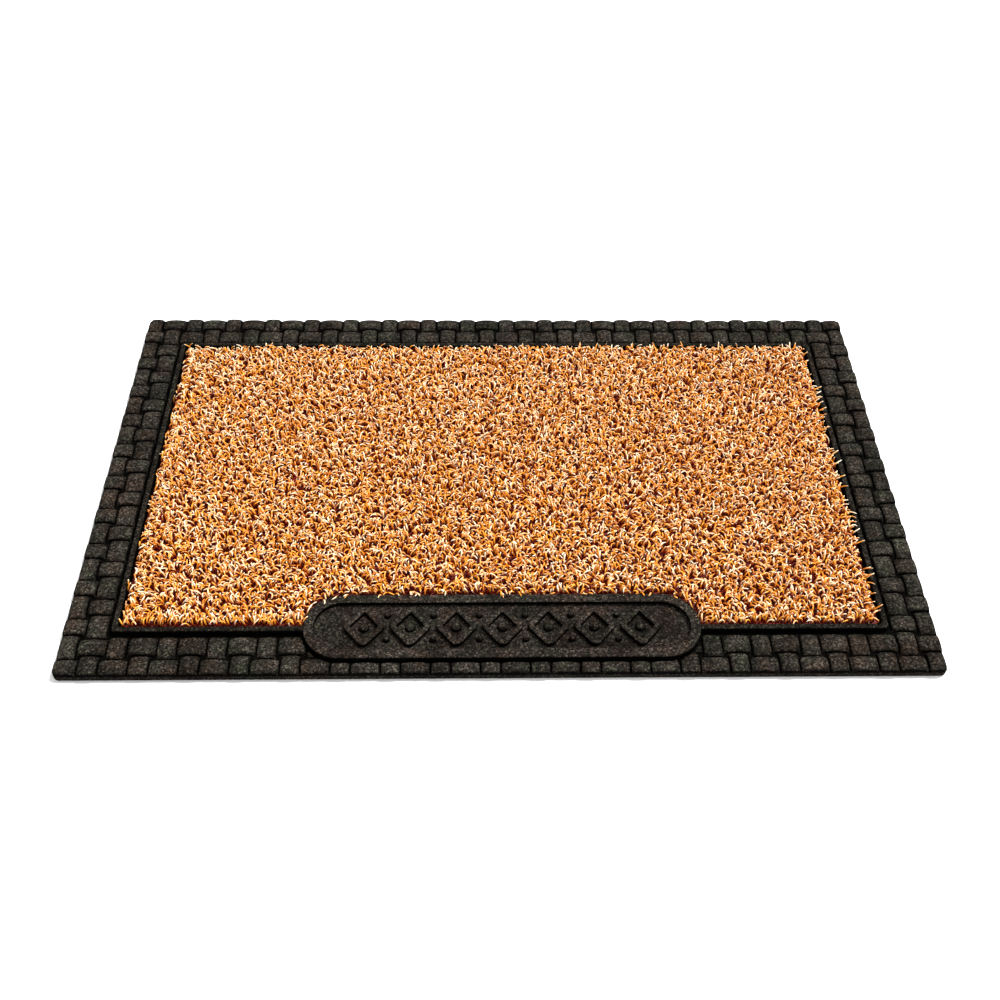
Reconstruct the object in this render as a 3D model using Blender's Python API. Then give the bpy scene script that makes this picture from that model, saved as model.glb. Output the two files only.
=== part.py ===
"""Door mat: one moulded rubber base with a glued-in turf insert.

The base is a single rubber moulding.  A border of basket-woven straps, two rows
deep, runs round a raised frame; the frame's inside is a shallow tray, and a
stadium-shaped cartouche with a raised lozenge band breaks the frame's front.
The turf insert lies on a film of adhesive in the tray and is cut round the
cartouche.  Nothing on the mat moves.

Frame: origin under the mat's centre on the floor, +X along the mat's length,
+Y towards the back edge (the cartouche is at the front), +Z up.  Metres.
"""

import math

import bmesh
import bpy
from mathutils import Matrix

# ---------------------------------------------------------------- dimensions
MAT_LENGTH = 0.762            # along X
MAT_DEPTH = 0.4572            # along Y
CORNER_RADIUS = 0.0075        # the mat's own corners, seen from above
SLAB_HEIGHT = 0.007           # floor to the bottom of the woven grooves

STRAP_PITCH = 0.0212          # wanted spacing; the nearest whole number fits
BORDER_ROWS = 2               # strap crossings between the edge and the frame
EDGE_TRIM = 0.003             # how much narrower the outermost row is
STRAP_RISE = 0.003            # groove to the crest of a strap
STRAP_DIP = 0.0014            # how far a strap has dropped at its ends
STRAP_SIDE_GAP = 0.0011       # strap edge to the line between two crossings
STRAP_END_GAP = 0.0004        # strap end to that line
STRAP_CUTS = 3                # cross cuts that shape one strap's arch

FRAME_GAP = 0.0025            # groove between the woven border and the frame
FRAME_WIDTH = 0.006
FRAME_TOP = 0.0125
FRAME_CORNER_RADIUS = 0.004
TRAY_FLOOR = 0.0035
TRAY_CORNER_RADIUS = 0.003

CARTOUCHE_LENGTH = 0.347
CARTOUCHE_WIDTH = 0.0667
CARTOUCHE_SHIFT = 0.0019      # towards the back, from the frame's centre line
CARTOUCHE_TOP = 0.013
CARTOUCHE_LIP = 0.009
PANEL_DEPTH = 0.002           # lip's top to the sunken panel
PANEL_END_MARGIN = 0.018      # panel end kept clear of the ornament

LOZENGE_PITCH = 0.0402
LOZENGE_LENGTH = 0.0362       # tip to tip along X
LOZENGE_HEIGHT = 0.0384       # tip to tip along Y
LOZENGE_STROKE = 0.0056       # width of the raised outline
ORNAMENT_RISE = 0.0018        # above the panel
CENTRE_STUD_RADIUS = 0.0042
SIDE_STUD_RADIUS = 0.0026
SIDE_STUD_OFFSET = 0.0125     # stud row to the band's centre line
STUD_SIDES = 12

CHANNEL_DEPTH = 0.001         # grooves under the mat, which let water out
CHANNEL_WIDTH = 0.004
CHANNEL_SPACING = 0.052
CHANNEL_MARGIN = 0.045        # channel ends to the mat's edge

WALL_CLEARANCE = 0.0006       # insert's edge to the tray's wall
LAYER_GAP = 0.0003            # between layers that lie on each other
GLUE_THICKNESS = 0.0005
GLUE_INSET = 0.008            # adhesive's edge to the backing's edge
BACKING_THICKNESS = 0.0018
PILE_HEIGHT = 0.0118
PILE_INSET = 0.0016           # pile's edge to the backing's edge

CORNER_SEGMENTS = 4           # per quarter turn, on the small corners
END_SEGMENTS = 10             # per quarter turn, on the cartouche's ends
EMBED = 0.0015                # how deep a raised feature starts in its carrier
OVERRUN = 0.002               # how far a cutter runs past what it cuts
NEARLY_ROUND = 0.00005        # flat left on a stadium's end, so it stays clean

COLLECTION_NAME = "door_mat"
RUBBER = ("rubber", (0.026, 0.023, 0.019), 0.82)
ADHESIVE = ("adhesive", (0.62, 0.55, 0.38), 0.45)
TURF_SHEET = ("turf_sheet", (0.40, 0.19, 0.065), 0.60)
TURF_BLADES = ("turf_blades", (0.56, 0.26, 0.085), 0.50)


# ------------------------------------------------------------------ layout
def crossings(overall):
    """Number of strap crossings along a side, and their spacing."""
    count = round((overall + 2 * EDGE_TRIM) / STRAP_PITCH)
    return count, (overall + 2 * EDGE_TRIM) / count


def frame_inset(overall):
    """Mat edge to the frame's outer wall, on the sides across `overall`."""
    spacing = crossings(overall)[1]
    return BORDER_ROWS * spacing - EDGE_TRIM + FRAME_GAP


def frame_size(inward=0.0):
    """Length and depth of the frame's outer wall, moved `inward`."""
    return (MAT_LENGTH - 2 * (frame_inset(MAT_LENGTH) + inward),
            MAT_DEPTH - 2 * (frame_inset(MAT_DEPTH) + inward))


def cartouche_y():
    """Y of the cartouche's centre line."""
    frame_line = -frame_size(FRAME_WIDTH / 2)[1] / 2
    return frame_line + CARTOUCHE_SHIFT


def in_cartouche(x, y):
    """Whether a point in plan is well inside the cartouche."""
    half_straight = (CARTOUCHE_LENGTH - CARTOUCHE_WIDTH) / 2
    beyond = max(0.0, abs(x) - half_straight)
    return math.hypot(beyond, y - cartouche_y()) < CARTOUCHE_WIDTH / 2 - OVERRUN


# ------------------------------------------------------------ scene and mesh
def clear_scene():
    for obj in list(bpy.data.objects):
        bpy.data.objects.remove(obj, do_unlink=True)


def new_collection(name):
    collection = bpy.data.collections.new(name)
    bpy.context.scene.collection.children.link(collection)
    return collection


def make_material(finish):
    name, colour, roughness = finish
    material = bpy.data.materials.new(name)
    material.use_nodes = True
    shader = material.node_tree.nodes["Principled BSDF"]
    shader.inputs["Base Color"].default_value = (*colour, 1.0)
    shader.inputs["Roughness"].default_value = roughness
    shader.inputs["Metallic"].default_value = 0.0
    material.diffuse_color = (*colour, 1.0)
    return material


def add_box(bm, x_range, y_range, z_range):
    """Add a box to `bm` and return its vertices."""
    size = [high - low for low, high in (x_range, y_range, z_range)]
    middle = [(high + low) / 2 for low, high in (x_range, y_range, z_range)]
    place = Matrix.Translation(middle) @ Matrix.Diagonal((*size, 1.0))
    return bmesh.ops.create_cube(bm, size=1.0, matrix=place)["verts"]


def add_rounded_box(bm, length, depth, z_range, radius, segments, centre_y=0.0):
    """Add a box centred on X = 0 with its upright edges rounded."""
    verts = add_box(bm, (-length / 2, length / 2),
                    (centre_y - depth / 2, centre_y + depth / 2), z_range)
    upright = [edge for edge in {e for v in verts for e in v.link_edges}
               if abs(edge.verts[0].co.z - edge.verts[1].co.z) > 1e-6]
    bmesh.ops.bevel(bm, geom=upright, offset=radius, segments=segments,
                    profile=0.5, affect="EDGES")


def finish_object(name, bm, collection, material=None):
    """Turn `bm` into an object; without a material it is a hidden helper."""
    bmesh.ops.recalc_face_normals(bm, faces=bm.faces)
    mesh = bpy.data.meshes.new(name)
    bm.to_mesh(mesh)
    bm.free()
    obj = bpy.data.objects.new(name, mesh)
    collection.objects.link(obj)
    if material:
        mesh.materials.append(material)
    else:
        obj.hide_render = True
        obj.display_type = "WIRE"
    return obj


def combine(target, helper, operation):
    modifier = target.modifiers.new(f"{operation.lower()}_{helper.name}", "BOOLEAN")
    modifier.operation = operation
    modifier.object = helper
    modifier.solver = "EXACT"


def rounded_helper(name, helpers, length, depth, z_range, radius,
                   segments=CORNER_SEGMENTS, centre_y=0.0):
    bm = bmesh.new()
    add_rounded_box(bm, length, depth, z_range, radius, segments, centre_y)
    return finish_object(name, bm, helpers)


def stadium_helper(name, helpers, grow, z_range):
    """A cutter or block with the cartouche's outline, grown by `grow`."""
    width = CARTOUCHE_WIDTH + 2 * grow
    return rounded_helper(name, helpers, CARTOUCHE_LENGTH + 2 * grow, width, z_range,
                          width / 2 - NEARLY_ROUND, END_SEGMENTS, cartouche_y())


# ------------------------------------------------------------- rubber base
def add_strap(bm, x_range, y_range, along_x):
    """One arched stretch of strap, between the two straps it dips under."""
    low, high = x_range if along_x else y_range
    axis = 0 if along_x else 1
    first = len(bm.verts)
    verts = add_box(bm, x_range, y_range, (SLAB_HEIGHT - EMBED, SLAB_HEIGHT + STRAP_RISE))
    top_edges = [edge for edge in {e for v in verts for e in v.link_edges}
                 if min(end.co.z for end in edge.verts) > SLAB_HEIGHT
                 and abs(edge.verts[0].co[axis] - edge.verts[1].co[axis]) > (high - low) / 2]
    bmesh.ops.subdivide_edges(bm, edges=top_edges, cuts=STRAP_CUTS)
    bm.verts.ensure_lookup_table()
    for vert in bm.verts[first:]:
        if vert.co.z > SLAB_HEIGHT:
            away = (2 * vert.co[axis] - low - high) / (high - low)
            vert.co.z -= STRAP_DIP * away ** 2


def cell_range(index, count, spacing, overall, gap):
    """One crossing's span along a side, less `gap`; the outermost run past the edge."""
    low = -overall / 2 - EDGE_TRIM + index * spacing + gap
    high = low + spacing - 2 * gap
    if index == 0:
        low = -overall / 2 - OVERRUN
    if index == count - 1:
        high = overall / 2 + OVERRUN
    return low, high


def woven_border(helpers):
    """Every strap stretch that shows in the border, as separate blocks."""
    columns, pitch_x = crossings(MAT_LENGTH)
    rows, pitch_y = crossings(MAT_DEPTH)
    bm = bmesh.new()
    for column in range(columns):
        for row in range(rows):
            inner_column = BORDER_ROWS <= column < columns - BORDER_ROWS
            inner_row = BORDER_ROWS <= row < rows - BORDER_ROWS
            if inner_column and inner_row:
                continue
            along_x = (column + row) % 2 == 0
            gap_x, gap_y = STRAP_SIDE_GAP, STRAP_END_GAP
            if along_x:
                gap_x, gap_y = STRAP_END_GAP, STRAP_SIDE_GAP
            x_range = cell_range(column, columns, pitch_x, MAT_LENGTH, gap_x)
            y_range = cell_range(row, rows, pitch_y, MAT_DEPTH, gap_y)
            if all(in_cartouche(x, y) for x in x_range for y in y_range):
                continue
            add_strap(bm, x_range, y_range, along_x)
    return finish_object("woven_straps", bm, helpers)


def lozenge_band(helpers):
    """The raised ornament: outlined lozenges with studs in and between them."""
    panel_top = CARTOUCHE_TOP - PANEL_DEPTH
    z_low, z_high = panel_top - EMBED / 2, panel_top + ORNAMENT_RISE
    clear_length = CARTOUCHE_LENGTH - 2 * (CARTOUCHE_LIP + PANEL_END_MARGIN)
    count = int((clear_length + 1e-6) // LOZENGE_PITCH)
    first_x = -(count - 1) * LOZENGE_PITCH / 2
    slope = math.hypot(LOZENGE_LENGTH, LOZENGE_HEIGHT)
    inner_share = 1 - 2 * LOZENGE_STROKE * slope / (LOZENGE_LENGTH * LOZENGE_HEIGHT)

    def prism(bm, x, y, sides, half_length, half_height, low, high):
        place = (Matrix.Translation((x, y, (low + high) / 2))
                 @ Matrix.Diagonal((half_length, half_height, high - low, 1.0)))
        bmesh.ops.create_cone(bm, cap_ends=True, segments=sides, radius1=1.0,
                              radius2=1.0, depth=1.0, matrix=place)

    rings = bmesh.new()
    holes = bmesh.new()
    studs = bmesh.new()
    for index in range(count):
        x = first_x + index * LOZENGE_PITCH
        y = cartouche_y()
        prism(rings, x, y, 4, LOZENGE_LENGTH / 2, LOZENGE_HEIGHT / 2, z_low, z_high)
        prism(holes, x, y, 4, LOZENGE_LENGTH / 2 * inner_share,
              LOZENGE_HEIGHT / 2 * inner_share, z_low - OVERRUN, z_high + OVERRUN)
        prism(studs, x, y, STUD_SIDES, CENTRE_STUD_RADIUS, CENTRE_STUD_RADIUS, z_low, z_high)
        if index < count - 1:
            for side in (-1, 1):
                prism(studs, x + LOZENGE_PITCH / 2, y + side * SIDE_STUD_OFFSET, STUD_SIDES,
                      SIDE_STUD_RADIUS, SIDE_STUD_RADIUS, z_low, z_high)
    band = finish_object("lozenge_band", rings, helpers)
    combine(band, finish_object("lozenge_holes", holes, helpers), "DIFFERENCE")
    return band, finish_object("ornament_studs", studs, helpers)


def channel_positions(overall):
    """Centre lines of the drainage channels that cross a side."""
    reach = overall / 2 - CHANNEL_MARGIN
    pairs = int((reach - CHANNEL_SPACING / 2) // CHANNEL_SPACING) + 1
    return [side * (index + 0.5) * CHANNEL_SPACING
            for index in range(pairs) for side in (-1, 1)]


def drainage_channels(helpers):
    """Two cutters: the channels along X and the channels along Y."""
    half_width = CHANNEL_WIDTH / 2
    reach_x = MAT_LENGTH / 2 - CHANNEL_MARGIN
    reach_y = MAT_DEPTH / 2 - CHANNEL_MARGIN
    z_range = (-OVERRUN, CHANNEL_DEPTH)
    lengthwise = bmesh.new()
    for y in channel_positions(MAT_DEPTH):
        add_box(lengthwise, (-reach_x, reach_x), (y - half_width, y + half_width), z_range)
    crosswise = bmesh.new()
    for x in channel_positions(MAT_LENGTH):
        add_box(crosswise, (x - half_width, x + half_width), (-reach_y, reach_y), z_range)
    return (finish_object("channels_along_x", lengthwise, helpers),
            finish_object("channels_along_y", crosswise, helpers))


def rubber_base(parts, helpers):
    """The one-piece moulding: slab, woven border, frame, tray and cartouche."""
    above = CARTOUCHE_TOP + OVERRUN
    bm = bmesh.new()
    add_box(bm, (-MAT_LENGTH / 2 - OVERRUN, MAT_LENGTH / 2 + OVERRUN),
            (-MAT_DEPTH / 2 - OVERRUN, MAT_DEPTH / 2 + OVERRUN), (0.0, SLAB_HEIGHT))
    base = finish_object("rubber_base", bm, parts, make_material(RUBBER))
    combine(base, woven_border(helpers), "UNION")
    combine(base, rounded_helper("mat_outline", helpers, MAT_LENGTH, MAT_DEPTH,
                                 (-OVERRUN, above), CORNER_RADIUS), "INTERSECT")
    combine(base, rounded_helper("frame_block", helpers, *frame_size(),
                                 (SLAB_HEIGHT - EMBED, FRAME_TOP), FRAME_CORNER_RADIUS), "UNION")
    combine(base, rounded_helper("tray_cutter", helpers, *frame_size(FRAME_WIDTH),
                                 (TRAY_FLOOR, above), TRAY_CORNER_RADIUS), "DIFFERENCE")
    combine(base, stadium_helper("cartouche_block", helpers, 0.0,
                                 (TRAY_FLOOR - EMBED, CARTOUCHE_TOP)), "UNION")
    combine(base, stadium_helper("panel_cutter", helpers, -CARTOUCHE_LIP,
                                 (CARTOUCHE_TOP - PANEL_DEPTH, above)), "DIFFERENCE")
    for ornament in lozenge_band(helpers):
        combine(base, ornament, "UNION")
    for channels in drainage_channels(helpers):
        combine(base, channels, "DIFFERENCE")


# ------------------------------------------------------------ turf insert
def insert_layer(name, parts, bite, inset, z_range, finish):
    """A layer of the insert: the tray's outline less `inset` and the cartouche."""
    bm = bmesh.new()
    add_rounded_box(bm, *frame_size(FRAME_WIDTH + inset), z_range, TRAY_CORNER_RADIUS,
                    CORNER_SEGMENTS)
    layer = finish_object(name, bm, parts, make_material(finish))
    combine(layer, bite, "DIFFERENCE")


def turf_insert(parts, helpers):
    """Adhesive film, backing sheet and the space that the blades fill."""
    layers = (("glue_bed", GLUE_THICKNESS, GLUE_INSET, ADHESIVE),
              ("turf_backing", BACKING_THICKNESS, 0.0, TURF_SHEET),
              ("turf_pile", PILE_HEIGHT, PILE_INSET, TURF_BLADES))
    bottom = TRAY_FLOOR + LAYER_GAP
    for name, thickness, inset, finish in layers:
        inset += WALL_CLEARANCE
        top = bottom + thickness
        bite = stadium_helper(f"{name}_bite", helpers, inset,
                              (bottom - OVERRUN, top + OVERRUN))
        insert_layer(name, parts, bite, inset, (bottom, top), finish)
        bottom = top + LAYER_GAP


def main():
    clear_scene()
    parts = new_collection(COLLECTION_NAME)
    helpers = new_collection(f"{COLLECTION_NAME}_cutters")
    rubber_base(parts, helpers)
    turf_insert(parts, helpers)


main()
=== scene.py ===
"""Door mat with a basket-woven rubber border and a moulded turf insert.

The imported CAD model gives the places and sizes.  The rubber moulding, the turf's
sheet and its blades are remade here at full detail, laid out as an add-on: the
sizes are properties, each group of pieces has an operator, and a sidebar panel
lists them.  Metres, +X along the mat, +Y to the back edge, +Z up.
"""

import math

import bmesh
import bpy
from mathutils import Matrix, Vector


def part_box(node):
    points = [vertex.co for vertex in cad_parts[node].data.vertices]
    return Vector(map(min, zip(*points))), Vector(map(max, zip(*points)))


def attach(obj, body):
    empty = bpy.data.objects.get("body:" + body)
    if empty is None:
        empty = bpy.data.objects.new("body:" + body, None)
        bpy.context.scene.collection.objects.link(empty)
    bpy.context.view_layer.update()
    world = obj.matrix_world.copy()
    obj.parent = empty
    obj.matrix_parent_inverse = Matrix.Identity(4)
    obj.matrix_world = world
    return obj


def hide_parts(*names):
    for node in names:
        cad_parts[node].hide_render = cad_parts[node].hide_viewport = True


bl_info = {
    "name": "Woven Border Door Mat",
    "version": (1, 0, 0),
    "blender": (4, 5, 0),
    "location": "View3D > Sidebar > Door Mat",
    "description": "Builds a moulded rubber door mat with a glued-in turf insert",
    "category": "Add Mesh",
}

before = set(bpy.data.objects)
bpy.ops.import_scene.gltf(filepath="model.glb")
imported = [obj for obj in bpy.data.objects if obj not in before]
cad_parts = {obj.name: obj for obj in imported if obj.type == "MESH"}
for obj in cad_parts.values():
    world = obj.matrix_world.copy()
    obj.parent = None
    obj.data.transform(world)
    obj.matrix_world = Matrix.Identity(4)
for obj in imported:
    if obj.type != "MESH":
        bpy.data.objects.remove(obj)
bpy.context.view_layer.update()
BASE_LOW, BASE_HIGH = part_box("rubber_base")
SHEET_LOW, SHEET_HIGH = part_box("turf_backing")
PILE_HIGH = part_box("turf_pile")[1]
GLUE_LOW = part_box("glue_bed")[0]

# Clearances that the CAD solids keep, so the walls can be found from them.
LAYER_GAP = 0.0003
WALL_CLEARANCE = 0.0006
TRAY_FLOOR = GLUE_LOW.z - LAYER_GAP
# How deep a raised part's foot is sunk in the slab.
SUNK = 0.001
# Points nearer to each other than this are one point.
SAME_PLACE = 1e-7


# ------------------------------------------------------------- properties
def length(name, description, default):
    """A size in metres, shown as a length."""
    return bpy.props.FloatProperty(name=name, description=description, default=default,
                                   unit="LENGTH", subtype="DISTANCE", precision=4)


def colour(name, description, default):
    return bpy.props.FloatVectorProperty(name=name, description=description, default=default,
                                         subtype="COLOR", size=3, min=0.0, max=1.0)


class DoorMatRubberSettings(bpy.types.PropertyGroup):
    mat_length: length("Length", "Mat's size along X", BASE_HIGH.x - BASE_LOW.x)
    mat_depth: length("Depth", "Mat's size along Y", BASE_HIGH.y - BASE_LOW.y)
    corner_radius: length("Corner Radius", "Rounding of the mat's corners", 0.0055)
    slab_height: length("Slab Height", "Floor to the bottom of the woven grooves", 0.0060)
    edge_inset: length("Strap Inset", "Mat's edge to the outer face of the straps", 0.0004)
    strap_pitch: length("Strap Pitch", "Wanted spacing of the strap crossings", 0.0212)
    border_rows: bpy.props.IntProperty(name="Border Rows", default=2, min=1,
                                       description="Crossings between edge and frame")
    edge_trim: length("Edge Trim", "How much narrower the outermost crossings are", 0.003)
    strap_rise: length("Strap Rise", "Groove to the crest of a strap", 0.0044)
    strap_dip: length("Strap Dip", "How far a strap drops before it goes under", 0.0023)
    side_gap: length("Side Gap", "Strap's side to the line between crossings", 0.0021)
    end_gap: length("End Gap", "Strap's end to the line between crossings", -0.0016)
    frame_clearance: length("Frame Clearance", "Line between crossings to the straps "
                            "beside the frame", 0.0006)
    frame_width: length("Frame Width", "Width of the raised frame", 0.006)
    frame_top: length("Frame Top", "Height of the frame above the floor", 0.0122)
    cartouche_length: length("Cartouche Length", "Cartouche's size along X", 0.347)
    cartouche_width: length("Cartouche Width", "Cartouche's size along Y", 0.0667)
    cartouche_shift: length("Cartouche Shift", "Its centre line behind the frame's", 0.0019)
    cartouche_lip: length("Cartouche Lip", "Width of the cartouche's raised lip", 0.009)
    panel_depth: length("Panel Depth", "Lip's top to the sunken panel", 0.0042)
    # Upward faces show the rubber's own colour; upright faces and groove bottoms get a nearly
    # black painted shade.
    top_colour: colour("Rubber Tops", "Tops of the straps, dulled by feet",
                       (0.0225, 0.0196, 0.0155))
    cartouche_colour: colour("Cartouche Rubber", "Top of the cartouche",
                             (0.0215, 0.0179, 0.0144))
    frame_colour: colour("Frame Rubber", "Top of the frame", (0.0125, 0.0108, 0.0084))
    face_colour: colour("Outer Rubber", "The slab's outer faces and its underside",
                        (0.0115, 0.0097, 0.0080))
    # Painted shade: a nearly black colour for upright faces and the bottoms of grooves.
    painted_shade_colour: colour("Painted Shade Rubber", "Upright faces and the bottoms of grooves",
                        (0.0012, 0.0010, 0.0008))


class DoorMatTurfSettings(bpy.types.PropertyGroup):
    blade_spacing: length("Blade Spacing", "Distance between neighbouring roots", 0.0030)
    blade_width: length("Blade Width", "Width of a blade at its root", 0.00165)
    blade_thickness: length("Blade Thickness", "Thickness of a blade at its root", 0.00115)
    shortest: length("Shortest Blade", "Least length along a blade", 0.0120)
    longest: length("Longest Blade", "Greatest length along a blade", 0.0175)
    left_shift: length("Field Shift", "How far the blades lie towards the left", 0.0006)
    patches_x: bpy.props.IntProperty(name="Patches Along", default=5, min=1,
                                     description="Pieces that the blades are split into")
    patches_y: bpy.props.IntProperty(name="Patches Across", default=2, min=1,
                                     description="Pieces that the blades are split into")
    seed: bpy.props.IntProperty(name="Seed", default=7, description="Order of the blades")
    # Painted shade: the roots are darkened where the dense pile shades them.
    root_shade_colour: colour("Root Shade", "Blades where they leave the sheet",
                        (0.36, 0.014, 0.004))
    blade_colour: colour("Blade Colour", "Middle of a blade", (0.92, 0.385, 0.033))
    # Pale tips: partly rubbed, partly a painted highlight.
    tip_and_highlight_colour: colour("Tip and Highlight", "Rubbed tips of the blades", (1.0, 0.92, 0.72))


class DoorMatStudioSettings(bpy.types.PropertyGroup):
    camera_place: bpy.props.FloatVectorProperty(
        name="Camera Place", description="Where the camera stands", size=3,
        subtype="XYZ", unit="LENGTH", default=(-0.0227, -0.7511, 0.8394))
    camera_turn: bpy.props.FloatProperty(
        name="Camera Turn", description="Turned towards +X, from looking along +Y",
        subtype="ANGLE", default=math.radians(1.82))
    camera_dip: bpy.props.FloatProperty(
        name="Camera Dip", description="Tilted down from level", subtype="ANGLE",
        default=math.radians(49.22))
    camera_roll: bpy.props.FloatProperty(
        name="Camera Roll", description="Leaned anticlockwise", subtype="ANGLE",
        default=math.radians(1.24))
    lens: bpy.props.FloatProperty(name="Lens", description="Focal length, in millimetres",
                                  default=41.28)
    floor_colour: colour("Floor", "Pale studio floor", (0.94, 0.94, 0.94))
    sky_strength: bpy.props.FloatProperty(name="Fill", default=0.92,
                                          description="Even light from all round")
    sun_strength: bpy.props.FloatProperty(name="Key", default=5.4,
                                          description="Soft light from behind and above")


# -------------------------------------------------------- node tree helpers
def arithmetic(operation):
    """A method that combines a Field and another number in a math node."""
    return lambda self, other: self.math(operation, other)


class Field:
    """A number in a node tree; arithmetic on it adds math nodes."""

    def __init__(self, tree, socket):
        self.tree = tree
        self.socket = socket

    def math(self, operation, *others, clamp=False):
        node = self.tree.nodes.new("ShaderNodeMath")
        node.operation = operation
        node.use_clamp = clamp
        for index, value in enumerate((self, *others)):
            feed(self.tree, node.inputs[index], value)
        return Field(self.tree, node.outputs[0])

    def __rsub__(self, other):
        return self.math("MULTIPLY_ADD", -1.0, other)

    __add__ = __radd__ = arithmetic("ADD")
    __sub__ = arithmetic("SUBTRACT")
    __mul__ = __rmul__ = arithmetic("MULTIPLY")
    __truediv__ = arithmetic("DIVIDE")
    __lt__ = arithmetic("LESS_THAN")
    __gt__ = arithmetic("GREATER_THAN")


def feed(tree, socket, value):
    """Link `value` to a socket if it comes from a node, or else set it."""
    if isinstance(value, Field):
        value = value.socket
    if isinstance(value, bpy.types.NodeSocket):
        tree.links.new(value, socket)
    else:
        socket.default_value = value


def find_socket(sockets, name):
    """A node's socket by its number, or by its name among those in use."""
    if isinstance(name, int):
        return sockets[name]
    return next(item for item in sockets if item.name == name and item.enabled)


def add_node(tree, kind, inputs=None, output=0, **settings):
    """Add a node, set it, feed it, and return one of its outputs as a Field."""
    node = tree.nodes.new(kind)
    for key, value in settings.items():
        setattr(node, key, value)
    for name, value in (inputs or {}).items():
        feed(tree, find_socket(node.inputs, name), value)
    if not node.outputs:
        return None
    return Field(tree, find_socket(node.outputs, output))


def geometry_tree(name, sizes):
    """A geometry node group with named number inputs, and those inputs as Fields."""
    tree = bpy.data.node_groups.new(name, "GeometryNodeTree")
    for label, value in sizes.items():
        kind = "NodeSocketInt" if isinstance(value, int) else "NodeSocketFloat"
        tree.interface.new_socket(label, in_out="INPUT", socket_type=kind)
    tree.interface.new_socket("Geometry", in_out="OUTPUT",
                              socket_type="NodeSocketGeometry")
    entry = tree.nodes.new("NodeGroupInput")
    return tree, {label: Field(tree, entry.outputs[label]) for label in sizes}


def end_tree(tree, geometry, material):
    """Close a group: real geometry, shaded smooth, with its material."""
    real = add_node(tree, "GeometryNodeRealizeInstances", {"Geometry": geometry})
    smooth = add_node(tree, "GeometryNodeSetShadeSmooth", {"Geometry": real})
    coated = add_node(tree, "GeometryNodeSetMaterial",
                      {"Geometry": smooth, "Material": material})
    exit_node = tree.nodes.new("NodeGroupOutput")
    tree.links.new(coated.socket, exit_node.inputs[0])


def split(tree, vector):
    """The three parts of a vector."""
    node = tree.nodes.new("ShaderNodeSeparateXYZ")
    feed(tree, node.inputs[0], vector)
    return [Field(tree, socket) for socket in node.outputs]


def join(tree, x=0.0, y=0.0, z=0.0):
    return add_node(tree, "ShaderNodeCombineXYZ", {0: x, 1: y, 2: z})


def joined(tree, *geometries):
    node = tree.nodes.new("GeometryNodeJoinGeometry")
    for item in geometries:
        tree.links.new(item.socket, node.inputs[0])
    return Field(tree, node.outputs[0])


def stored(tree, geometry, name, value, data_type="FLOAT", domain="POINT"):
    return add_node(tree, "GeometryNodeStoreNamedAttribute",
                    {"Geometry": geometry, "Name": name, "Value": value},
                    data_type=data_type, domain=domain)


def random_number(tree, low, high, seed):
    return add_node(tree, "FunctionNodeRandomValue", {"Min": low, "Max": high, "Seed": seed},
                    output="Value", data_type="FLOAT")


def grown(name, tree, sizes):
    """Run a node group with `sizes` and return the result as a plain mesh object."""
    host = bpy.data.objects.new(f"{name}_host", bpy.data.meshes.new(f"{name}_host"))
    bpy.context.scene.collection.objects.link(host)
    modifier = host.modifiers.new(name, "NODES")
    modifier.node_group = tree
    for item in tree.interface.items_tree:
        if item.in_out == "INPUT":
            modifier[item.identifier] = sizes[item.name]
    return plain(host, name)


# ------------------------------------------------------------ mesh helpers
def linked(name, bm, material=None):
    """Turn a bmesh into an object in the scene."""
    mesh = bpy.data.meshes.new(name)
    bm.to_mesh(mesh)
    bm.free()
    obj = bpy.data.objects.new(name, mesh)
    bpy.context.scene.collection.objects.link(obj)
    if material:
        mesh.materials.append(material)
    return obj


def plain(obj, name, *leftovers):
    """Replace an object and its modifiers by the finished mesh, and drop helpers."""
    depsgraph = bpy.context.evaluated_depsgraph_get()
    mesh = bpy.data.meshes.new_from_object(obj.evaluated_get(depsgraph),
                                           preserve_all_data_layers=True,
                                           depsgraph=depsgraph)
    for used in (obj, *leftovers):
        bpy.data.objects.remove(used, do_unlink=True)
    finished = bpy.data.objects.new(name, mesh)
    mesh.name = name
    bpy.context.scene.collection.objects.link(finished)
    return finished


def combine(target, helper, operation):
    modifier = target.modifiers.new(helper.name, "BOOLEAN")
    modifier.operation = operation
    modifier.object = helper
    modifier.solver = "EXACT"


def smooth_by_angle(obj, angle=math.radians(35)):
    obj.data.shade_smooth()
    obj.data.set_sharp_from_angle(angle=angle)


def place_piece(obj, slot, *nodes):
    """Tie a finished piece to the mat's body and hide the CAD nodes it stands for."""
    if not obj.data.polygons:
        raise RuntimeError(f"{obj.name} came out empty")
    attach(obj, "root")
    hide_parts(*nodes)


def add_box(bm, x_range, y_range, z_range):
    size = [high - low for low, high in (x_range, y_range, z_range)]
    middle = [(high + low) / 2 for low, high in (x_range, y_range, z_range)]
    place = Matrix.Translation(middle) @ Matrix.Diagonal((*size, 1.0))
    return bmesh.ops.create_cube(bm, size=1.0, matrix=place)["verts"]


def quarter_turns(steps=4):
    """Angles from 0 to a right angle, in equal steps."""
    return [math.radians(90) * step / steps for step in range(steps + 1)]


def rounded_outline(half_x, half_y, radius, steps, centre_y=0.0):
    """Points round a rectangle with quarter-circle corners, anticlockwise."""
    points = []
    for corner in range(4):
        middle = Vector((half_x - radius, half_y - radius))
        middle.x *= 1 if corner in (0, 3) else -1
        middle.y *= 1 if corner in (0, 1) else -1
        for step in range(steps + 1):
            angle = math.radians(90) * (corner + step / steps)
            points.append((middle.x + radius * math.cos(angle),
                           centre_y + middle.y + radius * math.sin(angle)))
    # Two corners with one centre share a point, which is listed once.
    return [point for before, point in zip([points[-1], *points], points)
            if math.dist(before, point) > SAME_PLACE]


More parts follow.
